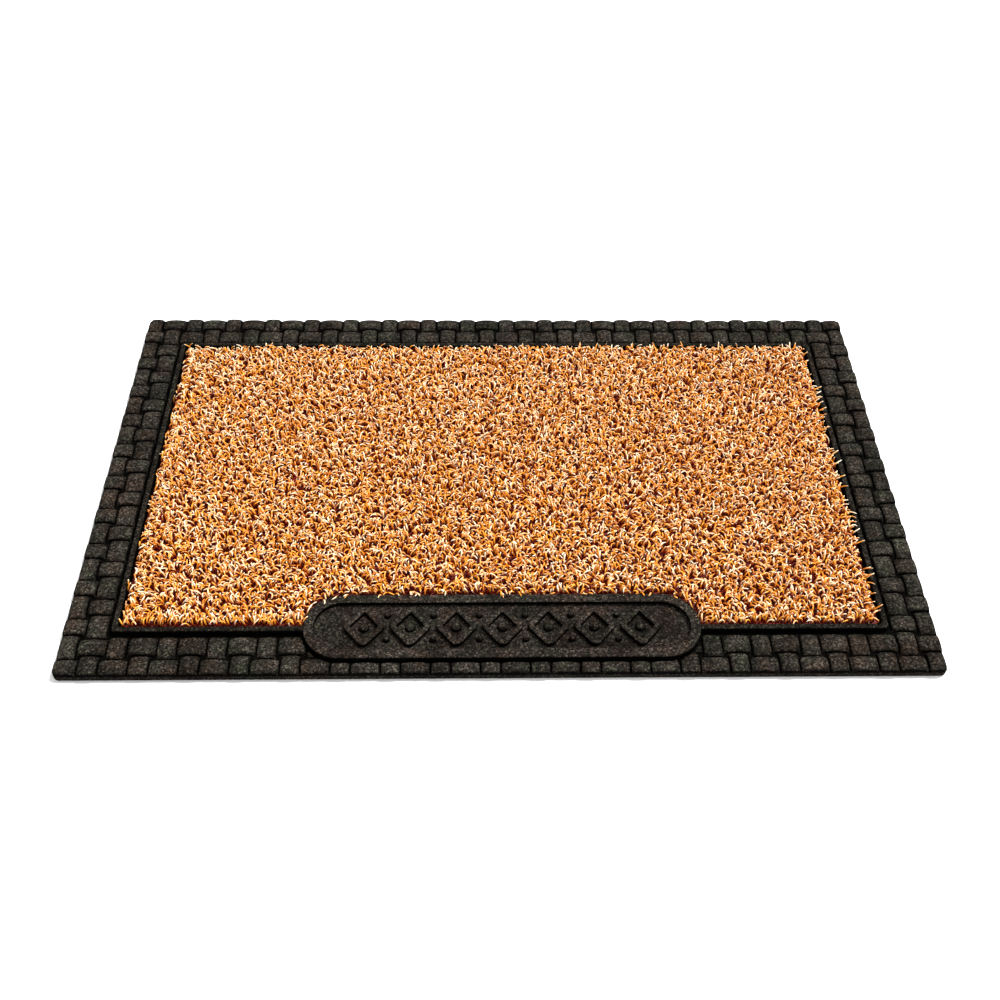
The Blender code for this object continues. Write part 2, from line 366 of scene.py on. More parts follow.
def lofted(name, rings, material=None):
    """A closed solid through rings of equal length, given as (points, z)."""
    bm = bmesh.new()
    loops = [[bm.verts.new((x, y, z)) for x, y in points] for points, z in rings]
    for lower, upper in zip(loops, loops[1:]):
        for index in range(len(lower)):
            after = (index + 1) % len(lower)
            bm.faces.new((lower[index], lower[after], upper[after], upper[index]))
    bm.faces.new(reversed(loops[0]))
    bm.faces.new(loops[-1])
    bmesh.ops.recalc_face_normals(bm, faces=bm.faces)
    return linked(name, bm, material)


# ------------------------------------------------------------------ layout
def rubber():
    return bpy.context.scene.door_mat_rubber


def crossings(overall):
    """Number of strap crossings along a side, and their spacing."""
    trimmed = overall + 2 * rubber().edge_trim
    count = round(trimmed / rubber().strap_pitch)
    return count, trimmed / count


def tray_half(inset=0.0):
    """Half length and half depth of the tray's wall, moved in by `inset`."""
    return (SHEET_HIGH.x + WALL_CLEARANCE - inset, SHEET_HIGH.y + WALL_CLEARANCE - inset)


def cartouche_y():
    """Y of the cartouche's centre line."""
    return -tray_half(-rubber().frame_width / 2)[1] + rubber().cartouche_shift


def stadium(grow, steps=24):
    """Outline of the cartouche, grown by `grow`."""
    half_width = rubber().cartouche_width / 2 + grow
    return rounded_outline(rubber().cartouche_length / 2 + grow, half_width, half_width,
                           steps, cartouche_y())


def from_cartouche(x, y, inputs):
    """Distance from a point to the cartouche's wall, as a Field; negative inside."""
    beyond = (x.math("ABSOLUTE") - inputs["End Centre"]).math("MAXIMUM", 0.0)
    off_line = y - inputs["Cartouche Y"]
    return (beyond * beyond + off_line * off_line).math("SQRT") - inputs["End Radius"]


def cartouche_sizes():
    """The three numbers that describe the cartouche's outline."""
    half_width = rubber().cartouche_width / 2
    return {"End Centre": rubber().cartouche_length / 2 - half_width,
            "Cartouche Y": cartouche_y(), "End Radius": half_width}


# --------------------------------------------------------------- materials
def new_material(name):
    """A node material, its tree, its shader, and the piece's own coordinates."""
    material = bpy.data.materials.new(name)
    material.use_nodes = True
    tree = material.node_tree
    shader = tree.nodes["Principled BSDF"]
    place = add_node(tree, "ShaderNodeTexCoord", output="Object")
    return material, tree, shader, place


def noise(tree, place, scale, detail=2.0, output="Fac"):
    return add_node(tree, "ShaderNodeTexNoise",
                    {"Vector": place, "Scale": scale, "Detail": detail}, output=output)


def cells(tree, place, scale, output="Color", feature="F1"):
    return add_node(tree, "ShaderNodeTexVoronoi", {"Vector": place, "Scale": scale},
                    output=output, feature=feature)


def ramp(tree, value, stops):
    """A colour ramp through (position, colour) stops."""
    node = tree.nodes.new("ShaderNodeValToRGB")
    feed(tree, node.inputs[0], value)
    elements = node.color_ramp.elements
    while len(elements) < len(stops):
        elements.new(0.5)
    for element, (position, tone) in zip(elements, stops):
        element.position = position
        element.color = (*tone, 1.0)
    return Field(tree, node.outputs["Color"])


def mixed(tree, share, first, second, blend="MIX"):
    """Two colours mixed by a share from 0 to 1."""
    node = tree.nodes.new("ShaderNodeMix")
    node.data_type = "RGBA"
    node.blend_type = blend
    feed(tree, node.inputs["Factor"], share)
    feed(tree, node.inputs[6], first)
    feed(tree, node.inputs[7], second)
    return Field(tree, node.outputs[2])


def spread(tree, value, low, high, to_low=0.0, to_high=1.0):
    return add_node(tree, "ShaderNodeMapRange",
                    {"Value": value, "From Min": low, "From Max": high,
                     "To Min": to_low, "To Max": to_high}, output="Result")


def grey(tone):
    return (tone, tone, tone)


def crumb_rubber(name, top_colour, painted_shade_colour, bottom, depth, least):
    """Moulded crumb rubber: grains of several tones pressed together.

    Faces that look up have `top_colour`, which fades into painted shade in the hollows
    that reach down to `bottom`; upright faces get the painted shade colour.
    """
    material, tree, shader, place = new_material(name)
    facing = split(tree, add_node(tree, "ShaderNodeNewGeometry", output="Normal"))[2]
    level = split(tree, place)[2]
    # Painted shade: upright faces and the lower parts of the relief fade to the painted shade
    # colour.
    painted_shade_mask = (spread(tree, facing, 0.45, 0.97)
            * spread(tree, level, bottom, bottom + depth, least, 1.0))
    lit_and_shaded_tone = mixed(tree, painted_shade_mask, (*painted_shade_colour, 1.0), (*top_colour, 1.0))
    grain_tone = split(tree, cells(tree, place, 760.0))[0]
    grains = ramp(tree, grain_tone, ((0.0, grey(0.2)), (0.35, grey(0.55)), (0.7, grey(1.0)),
                                     (0.9, grey(2.0)), (1.0, grey(3.4))))
    fine_tone = noise(tree, place, 1700.0, 3.0)
    fine = ramp(tree, fine_tone, ((0.25, grey(0.55)), (0.55, grey(1.0)), (0.8, grey(1.5))))
    patch = noise(tree, place, 46.0, 3.0)
    tint = ramp(tree, patch, ((0.3, (1.16, 0.95, 0.88)), (0.5, (1.0, 1.0, 1.0)),
                              (0.7, (0.90, 1.05, 0.91))))
    dusty = ramp(tree, noise(tree, place, 38.0), ((0.3, grey(0.6)), (0.7, grey(1.45))))
    shade = lit_and_shaded_tone
    for layer in (grains, fine, tint, dusty):
        shade = mixed(tree, 1.0, shade, layer, "MULTIPLY")
    feed(tree, shader.inputs["Base Color"], shade)
    feed(tree, shader.inputs["Roughness"], spread(tree, fine_tone, 0.3, 0.7, 0.62, 0.88))
    height = (cells(tree, place, 760.0, "Distance") * -0.9 + fine_tone * 0.5
              + noise(tree, place, 240.0) * 0.8)
    feed(tree, shader.inputs["Normal"],
         add_node(tree, "ShaderNodeBump", {"Strength": 0.55, "Distance": 0.0005,
                                           "Height": height}))
    shader.inputs["Specular IOR Level"].default_value = 0.015
    return material


def turf_blade_plastic():
    """Tan polyethylene blades: painted shade darkens the root, and the pale tip is partly rubbed,
    partly a painted highlight.
    """
    material, tree, shader, _ = new_material("turf_blade_plastic")
    settings = bpy.context.scene.door_mat_turf
    across = add_node(tree, "ShaderNodeUVMap", uv_map="OFBake")
    tone, along, _ = split(tree, across)
    # Along a blade: painted shade at the root, the blade's own colour in the middle, and a pale
    # tip that is partly a painted highlight.
    body = ramp(tree, along, ((0.24, settings.root_shade_colour), (0.58, settings.blade_colour),
                              (0.82, settings.blade_colour), (1.0, settings.tip_and_highlight_colour)))
    cast = ramp(tree, tone, ((0.0, (0.56, 0.36, 0.25)), (0.3, (0.90, 0.80, 0.66)),
                             (0.55, (1.0, 1.0, 1.0))))
    # Random blades turn pale along their upper part: partly their own tone, partly a painted
    # highlight.
    pale = spread(tree, tone, 0.58, 0.95, 0.0, 0.95) * spread(tree, along, 0.35, 0.8)
    feed(tree, shader.inputs["Base Color"],
         mixed(tree, pale, mixed(tree, 1.0, body, cast, "MULTIPLY"), (*settings.tip_and_highlight_colour, 1.0)))
    feed(tree, shader.inputs["Roughness"], spread(tree, tone, 0.0, 1.0, 0.26, 0.42))
    shader.inputs["Specular IOR Level"].default_value = 0.4
    return material


def turf_sheet_painted_shade():
    """The turf's moulded sheet, coloured a deep red-brown that is painted shade under the blades.
    """
    material, tree, shader, place = new_material("turf_sheet_painted_shade")
    # Painted shade: the sheet is nearly black red-brown, as it looks shaded under the blades.
    base = ramp(tree, noise(tree, place, 60.0, 4.0),
                ((0.3, (0.06, 0.003, 0.001)), (0.7, (0.16, 0.008, 0.002))))
    feed(tree, shader.inputs["Base Color"], base)
    feed(tree, shader.inputs["Roughness"],
         spread(tree, noise(tree, place, 300.0), 0.3, 0.7, 0.5, 0.75))
    feed(tree, shader.inputs["Normal"],
         add_node(tree, "ShaderNodeBump", {"Strength": 0.4, "Distance": 0.0003,
                                           "Height": noise(tree, place, 900.0)}))
    shader.inputs["Specular IOR Level"].default_value = 0.2
    return material


def set_adhesive():
    """Cream adhesive, spread with a notched trowel and set."""
    material, tree, shader, place = new_material("set_adhesive")
    wave = add_node(tree, "ShaderNodeTexWave",
                    {"Vector": place, "Scale": 60.0, "Distortion": 2.5, "Detail": 2.0},
                    output="Fac")
    base = ramp(tree, wave, ((0.2, (0.52, 0.44, 0.28)), (0.8, (0.68, 0.61, 0.43))))
    feed(tree, shader.inputs["Base Color"], base)
    feed(tree, shader.inputs["Roughness"], spread(tree, wave, 0.0, 1.0, 0.35, 0.55))
    feed(tree, shader.inputs["Normal"],
         add_node(tree, "ShaderNodeBump", {"Strength": 0.5, "Distance": 0.0004,
                                           "Height": wave}))
    return material


def studio_floor_paint():
    material, tree, shader, place = new_material("studio_floor_paint")
    tone = bpy.context.scene.door_mat_studio.floor_colour
    base = ramp(tree, noise(tree, place, 3.0),
                ((0.3, [part * 0.995 for part in tone]), (0.7, tone)))
    feed(tree, shader.inputs["Base Color"], base)
    shader.inputs["Roughness"].default_value = 0.9
    shader.inputs["Specular IOR Level"].default_value = 0.0
    return material


def rubber_finish(part):
    """The moulding's rubber, as it looks on one part of it."""
    settings = rubber()
    # Each look: upward colour, painted shade colour, height where painted shade is deepest,
    # height over which it fades out, and share of the upward colour kept at the bottom.
    looks = {"straps": (settings.top_colour, settings.painted_shade_colour,
                        settings.slab_height, 0.0032, 0.06),
             "cartouche": (settings.cartouche_colour, settings.painted_shade_colour,
                           BASE_HIGH.z - settings.panel_depth, 0.0035, 0.72),
             "frame": (settings.frame_colour, settings.painted_shade_colour,
                       settings.slab_height, 0.0050, 0.06),
             # On the slab the upward faces, tray floor and groove bottoms, get the painted shade
             # colour, and the upright outer faces the outer rubber colour.
             "slab": (settings.painted_shade_colour, settings.face_colour, 0.0, 0.001, 1.0)}
    name = f"crumb_rubber_{part}"
    return bpy.data.materials.get(name) or crumb_rubber(name, *looks[part])


# ------------------------------------------------------------ rubber pieces
class DOORMAT_OT_base_slab(bpy.types.Operator):
    """Build the rubber slab with its tray and the drainage channels underneath"""
    bl_idname = "doormat.base_slab"
    bl_label = "Base Slab"

    channel_width: length("Channel Width", "Width of a drainage channel", 0.004)
    channel_depth: length("Channel Depth", "Depth of a drainage channel", 0.001)
    channel_spacing: length("Channel Spacing", "Distance between channels", 0.052)
    channel_margin: length("Channel Margin", "Channel's end to the mat's edge", 0.045)

    def channel_lines(self, overall):
        reach = overall / 2 - self.channel_margin
        pairs = int((reach - self.channel_spacing / 2) // self.channel_spacing) + 1
        return [side * (index + 0.5) * self.channel_spacing
                for index in range(pairs) for side in (-1, 1)]

    def channels(self):
        """Cutters for the channels along X and for those along Y."""
        half = self.channel_width / 2
        reach_x = rubber().mat_length / 2 - self.channel_margin
        reach_y = rubber().mat_depth / 2 - self.channel_margin
        depth = (-self.channel_depth, self.channel_depth)
        lengthwise, crosswise = bmesh.new(), bmesh.new()
        for y in self.channel_lines(rubber().mat_depth):
            add_box(lengthwise, (-reach_x, reach_x), (y - half, y + half), depth)
        for x in self.channel_lines(rubber().mat_length):
            add_box(crosswise, (x - half, x + half), (-reach_y, reach_y), depth)
        return linked("channels_x", lengthwise), linked("channels_y", crosswise)

    def execute(self, context):
        sizes = rubber()
        foot_rounding, top_rounding = 0.0012, 0.0006
        tray_radius, corner_steps = 0.004, 10
        half = (sizes.mat_length / 2, sizes.mat_depth / 2)

        def outline(inset):
            return rounded_outline(half[0] - inset, half[1] - inset,
                                   sizes.corner_radius - inset, corner_steps)

        rings = [(outline(foot_rounding * (1 - math.sin(angle))),
                  foot_rounding * (1 - math.cos(angle)))
                 for angle in (0.0, 0.4, 0.8, 1.2, math.pi / 2)]
        rings += [(outline(top_rounding * (1 - math.cos(angle))),
                   sizes.slab_height - top_rounding * (1 - math.sin(angle)))
                  for angle in (0.0, 0.5, 1.0, math.pi / 2)]
        slab = lofted("base_slab_blank", rings, rubber_finish("slab"))
        half_tray = tray_half(-sizes.frame_width / 2)
        tray = lofted("tray_cutter", [
            (rounded_outline(*half_tray, tray_radius, corner_steps), z)
            for z in (TRAY_FLOOR, 2 * sizes.frame_top)])
        channels = self.channels()
        for cutter in (tray, *channels):
            combine(slab, cutter, "DIFFERENCE")
        slab = plain(slab, "base_slab", tray, *channels)
        smooth_by_angle(slab)
        place_piece(slab, "rubber", "rubber_base")
        return {"FINISHED"}


class DOORMAT_OT_woven_border(bpy.types.Operator):
    """Weave the border: one crowned pad for each stretch of strap that shows"""
    bl_idname = "doormat.woven_border"
    bl_label = "Woven Border"

    steps: bpy.props.IntProperty(name="Steps", default=12, min=6,
                                 description="Faces across one strap pad")
    rounding: length("Edge Rounding", "Rounding along a strap's edges", 0.0022)
    crown: length("Crown", "Strap's middle above its sides", 0.0016)
    end_dip: bpy.props.FloatProperty(name="Outer Dip", default=0.5, min=0.0, max=1.0,
                                     description="Share of the strap dip at the mat's edge")
    hidden_share: bpy.props.FloatProperty(
        name="Hidden Share", default=0.62, min=0.0,
        description="How far under the cartouche a crossing is left out, in crossings")
    unevenness: bpy.props.FloatProperty(name="Unevenness", default=0.008, subtype="ANGLE",
                                        description="How far a pad may lean out of true")

    def pad(self, outward_dip):
        """One pad, a unit square in plan with real heights, running along X.

        Its +X end drops by `outward_dip`, and its -X end by the whole strap dip.
        """
        sizes = rubber()
        half = sizes.strap_pitch / 2
        fullness, end_rounding = 2.6, self.rounding / 4
        lowest, foot = 0.0003, -0.0006
        bm = bmesh.new()
        bmesh.ops.create_grid(bm, x_segments=self.steps, y_segments=self.steps, size=1.0)
        for vert in bm.verts:
            run, across = (self.crowd(part) for part in vert.co.xy)
            dip = outward_dip if run > 0 else sizes.strap_dip
            drop = dip * abs(run) ** fullness + self.crown * abs(across) ** fullness
            for part, radius in ((run, end_rounding), (across, self.rounding)):
                inward = max(0.0, radius - half * (1 - abs(part)))
                drop += radius - math.sqrt(max(0.0, radius ** 2 - inward ** 2))
            vert.co = (run / 2, across / 2, max(sizes.strap_rise - drop, lowest))
        rim = [edge for edge in bm.edges if edge.is_boundary]
        walls = bmesh.ops.extrude_edge_only(bm, edges=rim)["geom"]
        for vert in (item for item in walls if isinstance(item, bmesh.types.BMVert)):
            vert.co.z = foot
        bmesh.ops.holes_fill(bm, edges=[edge for edge in bm.edges if edge.is_boundary])
        bmesh.ops.recalc_face_normals(bm, faces=bm.faces)
        return linked("strap_pad", bm)

    @staticmethod
    def crowd(part):
        """Move a grid line from -1 to 1 towards the nearer edge."""
        return math.copysign(1 - (1 - abs(part)) ** 1.7, part)

    def tree(self, pads, sizes):
        tree, size = geometry_tree("strap_weave", sizes)
        columns, rows = size["Columns"], size["Rows"]
        pitch_x, pitch_y = size["Pitch X"], size["Pitch Y"]
        grid = add_node(tree, "GeometryNodeMeshGrid",
                        {"Size X": (columns - 1) * pitch_x, "Size Y": (rows - 1) * pitch_y,
                         "Vertices X": columns, "Vertices Y": rows}, output="Mesh")
        x, y, _ = split(tree, add_node(tree, "GeometryNodeInputPosition"))
        column = (x / pitch_x + (columns - 1) * 0.5).math("ROUND")
        row = (y / pitch_y + (rows - 1) * 0.5).math("ROUND")
        to_side = column.math("MINIMUM", columns - 1 - column)
        to_end = row.math("MINIMUM", rows - 1 - row)
        last = size["Border Rows"] - 0.5
        inner = to_side.math("MINIMUM", to_end) > last
        covered = from_cartouche(x, y, size) < pitch_y * -self.hidden_share
        border = add_node(tree, "GeometryNodeDeleteGeometry",
                          {"Geometry": grid, "Selection": inner.math("MAXIMUM", covered)},
                          domain="POINT")
        crosswise = (column + row).math("MODULO", 2.0)
        side, end = size["Side Gap"], size["End Gap"]
        trim, clear = size["Edge Trim"] + size["Edge Inset"], size["Frame Clearance"]

        def fitted(pitch, to_edge, to_other, gap):
            """Whether a cell is outermost, a pad's size in it, and its shift inwards."""
            outermost = to_edge < 0.5
            by_frame = (to_edge > last - 1) * (to_other > last)
            outward = gap + (trim - gap) * outermost
            inward = gap + (clear - gap) * by_frame
            return outermost, pitch - outward - inward, (outward - inward) * 0.5

        gap_x, gap_y = end + (side - end) * crosswise, side + (end - side) * crosswise
        outer_x, span_x, shift_x = fitted(pitch_x, to_side, to_end, gap_x)
        outer_y, span_y, shift_y = fitted(pitch_y, to_end, to_side, gap_y)
        play = 0.00015
        shift = join(tree, x.math("SIGN") * shift_x * -1.0, y.math("SIGN") * shift_y * -1.0,
                     size["Groove Height"] + random_number(tree, -play, play, 3))
        moved = add_node(tree, "GeometryNodeSetPosition", {"Geometry": border, "Offset": shift})
        run = span_x + (span_y - span_x) * crosswise
        across = span_y + (span_x - span_y) * crosswise
        # A pad's +X end faces outwards.
        quarter, half = crosswise * y.math("SIGN"), (1 - crosswise) * (x < 0.0)
        lean, swing = self.unevenness, self.unevenness * 1.75
        turn = join(tree, random_number(tree, -lean, lean, 4),
                    random_number(tree, -lean, lean, 5),
                    quarter * (math.pi / 2) + half * math.pi
                    + random_number(tree, -swing, swing, 6))
        turned = add_node(tree, "FunctionNodeEulerToRotation", {0: turn})
        ends_out = outer_x + (outer_y - outer_x) * crosswise
        placed = [add_node(tree, "GeometryNodeInstanceOnPoints",
                           {"Points": moved, "Rotation": turned, "Selection": chosen,
                            "Instance": add_node(tree, "GeometryNodeObjectInfo",
                                                 {"Object": pad}, output="Geometry"),
                            "Scale": join(tree, run, across, 1.0)})
                  for pad, chosen in zip(pads, (ends_out, 1 - ends_out))]
        real = add_node(tree, "GeometryNodeRealizeInstances", {"Geometry": joined(tree, *placed)})
        shaped = self.beside_cartouche(tree, self.rounded_corners(tree, real, size), size)
        end_tree(tree, shaped, rubber_finish("straps"))
        return tree

    @staticmethod
    def rounded_corners(tree, geometry, size):
        """Pull the square corner regions onto the mat's rounded corners."""
        x, y, z = split(tree, add_node(tree, "GeometryNodeInputPosition"))
        radius = size["Corner Radius"] - size["Edge Inset"]
        centre_x = size["Half Length"] - size["Corner Radius"]
        centre_y = size["Half Depth"] - size["Corner Radius"]
        out_x = x.math("ABSOLUTE") - centre_x
        out_y = y.math("ABSOLUTE") - centre_y
        farthest = out_x.math("MAXIMUM", out_y).math("MINIMUM", radius)
        reach = (out_x * out_x + out_y * out_y).math("SQRT").math("MAXIMUM", 1e-6)
        share = farthest / reach
        spot = join(tree, x.math("SIGN") * (centre_x + out_x * share),
                    y.math("SIGN") * (centre_y + out_y * share), z)
        corner = (out_x > 0.0).math("MULTIPLY", out_y > 0.0)
        return add_node(tree, "GeometryNodeSetPosition",
                        {"Geometry": geometry, "Selection": corner, "Position": spot})

    @staticmethod
    def beside_cartouche(tree, geometry, size):
        """Sink the straps into a groove along the cartouche's wall."""
        groove_width, below = 0.0016, 0.0003
        x, y, z = split(tree, add_node(tree, "GeometryNodeInputPosition"))
        near = from_cartouche(x, y, size) < groove_width
        sunk = join(tree, x, y, z.math("MINIMUM", size["Groove Height"] - below))
        return add_node(tree, "GeometryNodeSetPosition",
                        {"Geometry": geometry, "Selection": near, "Position": sunk})

    def execute(self, context):
        settings = rubber()
        columns, pitch_x = crossings(settings.mat_length)
        rows, pitch_y = crossings(settings.mat_depth)
        sizes = {"Columns": columns, "Rows": rows, "Pitch X": pitch_x, "Pitch Y": pitch_y,
                 "Border Rows": settings.border_rows, "Edge Trim": settings.edge_trim,
                 "Edge Inset": settings.edge_inset, "Side Gap": settings.side_gap,
                 "End Gap": settings.end_gap, "Frame Clearance": settings.frame_clearance,
                 "Groove Height": settings.slab_height,
                 "Corner Radius": settings.corner_radius,
                 "Half Length": settings.mat_length / 2,
                 "Half Depth": settings.mat_depth / 2, **cartouche_sizes()}
        pads = [self.pad(settings.strap_dip * share) for share in (self.end_dip, 1.0)]
        border = grown("woven_border", self.tree(pads, sizes), sizes)
        for pad in pads:
            bpy.data.objects.remove(pad, do_unlink=True)
        smooth_by_angle(border, math.radians(50))
        place_piece(border, "rubber", "rubber_base")
        return {"FINISHED"}


class DOORMAT_OT_frame(bpy.types.Operator):
    """Sweep the raised frame round the tray, stopping at the cartouche"""
    bl_idname = "doormat.frame"
    bl_label = "Raised Frame"

    rounding: length("Edge Rounding", "Rounding of the frame's upper edges", 0.0013)

    def execute(self, context):
        settings = rubber()
        low = TRAY_FLOOR - SUNK
        width, draft, steps = settings.frame_width, 0.0003, 8
        outer_radius, inner_radius = 0.004, 0.003
        under_lip = 0.002

        def outline(inset):
            radius = outer_radius + (inner_radius - outer_radius) * inset / width
            return rounded_outline(*tray_half(inset - width), radius, steps)

        turns = quarter_turns()
        outside = [(self.rounding * (1 - math.cos(turn)) + draft,
                    settings.frame_top - self.rounding * (1 - math.sin(turn)))
                   for turn in turns]
        profile = [(0.0, low), *outside]
        profile += [(width - inset, z) for inset, z in reversed(outside)]
        profile.append((width, low))
        bm = bmesh.new()
        loops = [[bm.verts.new((x, y, z)) for x, y in outline(inset)] for inset, z in profile]
        for inner, outer in zip(loops, loops[1:] + loops[:1]):
            for index in range(len(inner)):
                after = (index + 1) % len(inner)
                bm.faces.new((inner[index], inner[after], outer[after], outer[index]))
        bmesh.ops.recalc_face_normals(bm, faces=bm.faces)
        rim = linked("frame_blank", bm, rubber_finish("frame"))
        cutter = lofted("frame_cutter", [(stadium(-under_lip), z) for z in (-low, 0.05)])
        combine(rim, cutter, "DIFFERENCE")
        rim = plain(rim, "raised_frame", cutter)
        smooth_by_angle(rim)
        place_piece(rim, "rubber", "rubber_base")
        return {"FINISHED"}


class DOORMAT_OT_cartouche(bpy.types.Operator):
    """Raise the cartouche: a rounded lip round a sunken panel"""
    bl_idname = "doormat.cartouche"
    bl_label = "Cartouche"

    rounding: length("Edge Rounding", "Rounding of the lip's edges", 0.0014)

    def execute(self, context):
        settings = rubber()
        top = BASE_HIGH.z
        panel = top - settings.panel_depth
        lip, radius = settings.cartouche_lip, self.rounding
        turns = quarter_turns()
        profile = [(0.0, TRAY_FLOOR - SUNK)]
        profile += [(radius * (1 - math.cos(turn)), top - radius * (1 - math.sin(turn)))
                    for turn in turns]
        profile += [(lip - radius * math.cos(turn), top - radius * (1 - math.sin(turn)))
                    for turn in reversed(turns)]
        foot, ledge = 0.0006, 0.004
        profile += [(lip + foot * (1 - math.cos(turn)), panel + foot * (1 - math.sin(turn)))
                    for turn in turns]
        profile.append((lip + ledge, panel))
        plate = lofted("cartouche_plate", [(stadium(-inset), z) for inset, z in profile],
                       rubber_finish("cartouche"))
        smooth_by_angle(plate)
        place_piece(plate, "rubber", "rubber_base")
        return {"FINISHED"}


class DOORMAT_OT_lozenge_band(bpy.types.Operator):
    """Raise the ornament: outlined lozenges with studs in and between them"""
    bl_idname = "doormat.lozenge_band"
    bl_label = "Lozenge Band"

    pitch: length("Pitch", "Distance between lozenges", 0.0402)
    lozenge_length: length("Lozenge Length", "Tip to tip along X", 0.0362)
    lozenge_height: length("Lozenge Height", "Tip to tip along Y", 0.0420)
    stroke: length("Stroke", "Width of the raised outline", 0.0058)
    rise: length("Rise", "Height above the panel", 0.0040)
    end_margin: length("End Margin", "Panel's end kept clear", 0.018)
    centre_stud: length("Centre Stud", "Radius of the stud in a lozenge", 0.0048)
    side_stud: length("Side Stud", "Radius of the studs between lozenges", 0.0031)
    side_offset: length("Stud Offset", "Side studs to the centre line", 0.0125)

    def tree(self, sizes):
        tree, size = geometry_tree("lozenge_repeat", sizes)
        half_length, half_height = (size[side] * 0.5 - size["Stroke"] * 0.4
                                    for side in ("Length", "Height"))
        outline = add_node(tree, "GeometryNodeCurvePrimitiveQuadrilateral",
                           {"Point 1": join(tree, half_length),
                            "Point 2": join(tree, 0.0, half_height),
                            "Point 3": join(tree, -1.0 * half_length),
                            "Point 4": join(tree, 0.0, -1.0 * half_height)}, mode="POINTS")
        eased = add_node(tree, "GeometryNodeFilletCurve",
                         {"Curve": outline, "Radius": size["Stroke"] * 0.55, "Count": 4},
                         mode="POLY")
        section = add_node(tree, "GeometryNodeCurvePrimitiveQuadrilateral",
                           {"Width": size["Stroke"], "Height": size["Rise"] * 2.0})
        section = add_node(tree, "GeometryNodeFilletCurve",
                           {"Curve": section, "Radius": size["Rise"] * 0.35, "Count": 3},
                           mode="POLY")
        ring = add_node(tree, "GeometryNodeCurveToMesh",
                        {"Curve": eased, "Profile Curve": section})
        motif = joined(tree, ring, self.stud(tree, size["Centre Stud"], size["Rise"]))
        middle = join(tree, (size["Count"] - 1) * size["Pitch"] * -0.5, size["Band Y"],
                      size["Panel Height"])
        motifs = self.row(tree, motif, size["Count"], middle, size["Pitch"])
        rows = [motifs]
        for side in (1.0, -1.0):
            first = join(tree, (size["Count"] - 2) * size["Pitch"] * -0.5,
                         size["Band Y"] + side * size["Stud Offset"], size["Panel Height"])
            rows.append(self.row(tree, self.stud(tree, size["Side Stud"], size["Rise"]),
                                 size["Count"] - 1, first, size["Pitch"]))
        end_tree(tree, joined(tree, *rows), rubber_finish("cartouche"))
        return tree

    @staticmethod
    def stud(tree, radius, rise):
        """A low dome, half sunk in the panel."""
        ball = add_node(tree, "GeometryNodeMeshUVSphere",
                        {"Segments": 24, "Rings": 12, "Radius": 1.0}, output="Mesh")
        return add_node(tree, "GeometryNodeTransform",
                        {"Geometry": ball, "Scale": join(tree, radius, radius, rise)})

    @staticmethod
    def row(tree, shape, count, first, pitch):
        line = add_node(tree, "GeometryNodeMeshLine",
                        {"Count": count, "Start Location": first, "Offset": join(tree, pitch)})
        return add_node(tree, "GeometryNodeInstanceOnPoints", {"Points": line, "Instance": shape})

    def execute(self, context):
        settings = rubber()
        clear = settings.cartouche_length - 2 * (settings.cartouche_lip + self.end_margin)
        sizes = {"Count": int((clear + 1e-6) // self.pitch), "Pitch": self.pitch,
                 "Length": self.lozenge_length, "Height": self.lozenge_height,
                 "Stroke": self.stroke, "Rise": self.rise, "Centre Stud": self.centre_stud,
                 "Side Stud": self.side_stud, "Stud Offset": self.side_offset,
                 "Band Y": cartouche_y(), "Panel Height": BASE_HIGH.z - settings.panel_depth}
        band = grown("lozenge_band", self.tree(sizes), sizes)
        smooth_by_angle(band)
        place_piece(band, "rubber", "rubber_base")
        return {"FINISHED"}


# -------------------------------------------------------------- turf insert
class DOORMAT_OT_glue_bed(bpy.types.Operator):
    """Give the film of adhesive its finish"""
    bl_idname = "doormat.glue_bed"
    bl_label = "Glue Bed"

    def execute(self, context):
        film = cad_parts["glue_bed"]
        film.data.materials.clear()
        film.data.materials.append(set_adhesive())
        return {"FINISHED"}


class DOORMAT_OT_turf_sheet(bpy.types.Operator):
    """Mould the turf's sheet, with the low ribs that its blades stand on"""
    bl_idname = "doormat.turf_sheet"
    bl_label = "Turf Sheet"

    rib_height: length("Rib Height", "Height of a rib above the sheet", 0.0005)
    rib_margin: length("Rib Margin", "Rib's end to the sheet's edge", 0.001)
    corner_radius: length("Corner Radius", "Rounding of the sheet's corners", 0.003)

    def execute(self, context):
        spacing = context.scene.door_mat_turf.blade_spacing * 2
        half_x, half_y = tray_half(WALL_CLEARANCE)
        outline = rounded_outline(half_x, half_y, self.corner_radius, 6)
        sheet = lofted("turf_sheet_blank", [(outline, z) for z in (SHEET_LOW.z, SHEET_HIGH.z)],
                       turf_sheet_painted_shade())
        ribs = bmesh.new()
        rib_end, half_rib = half_x - self.rib_margin, spacing / 5
        for index in range(int(2 * half_y / spacing)):
            y = -half_y + (index + 0.5) * spacing
            add_box(ribs, (-rib_end, rib_end), (y - half_rib, y + half_rib),
                    (SHEET_HIGH.z - self.rib_height, SHEET_HIGH.z + self.rib_height))
        ribs = linked("turf_ribs", ribs)
        bite = lofted("turf_bite", [(stadium(WALL_CLEARANCE), z) for z in (0.0, 0.03)])
        combine(sheet, ribs, "UNION")
        combine(sheet, bite, "DIFFERENCE")
        sheet = plain(sheet, "turf_sheet", ribs, bite)
        smooth_by_angle(sheet)
        place_piece(sheet, "turf_sheet", "turf_backing")
        return {"FINISHED"}


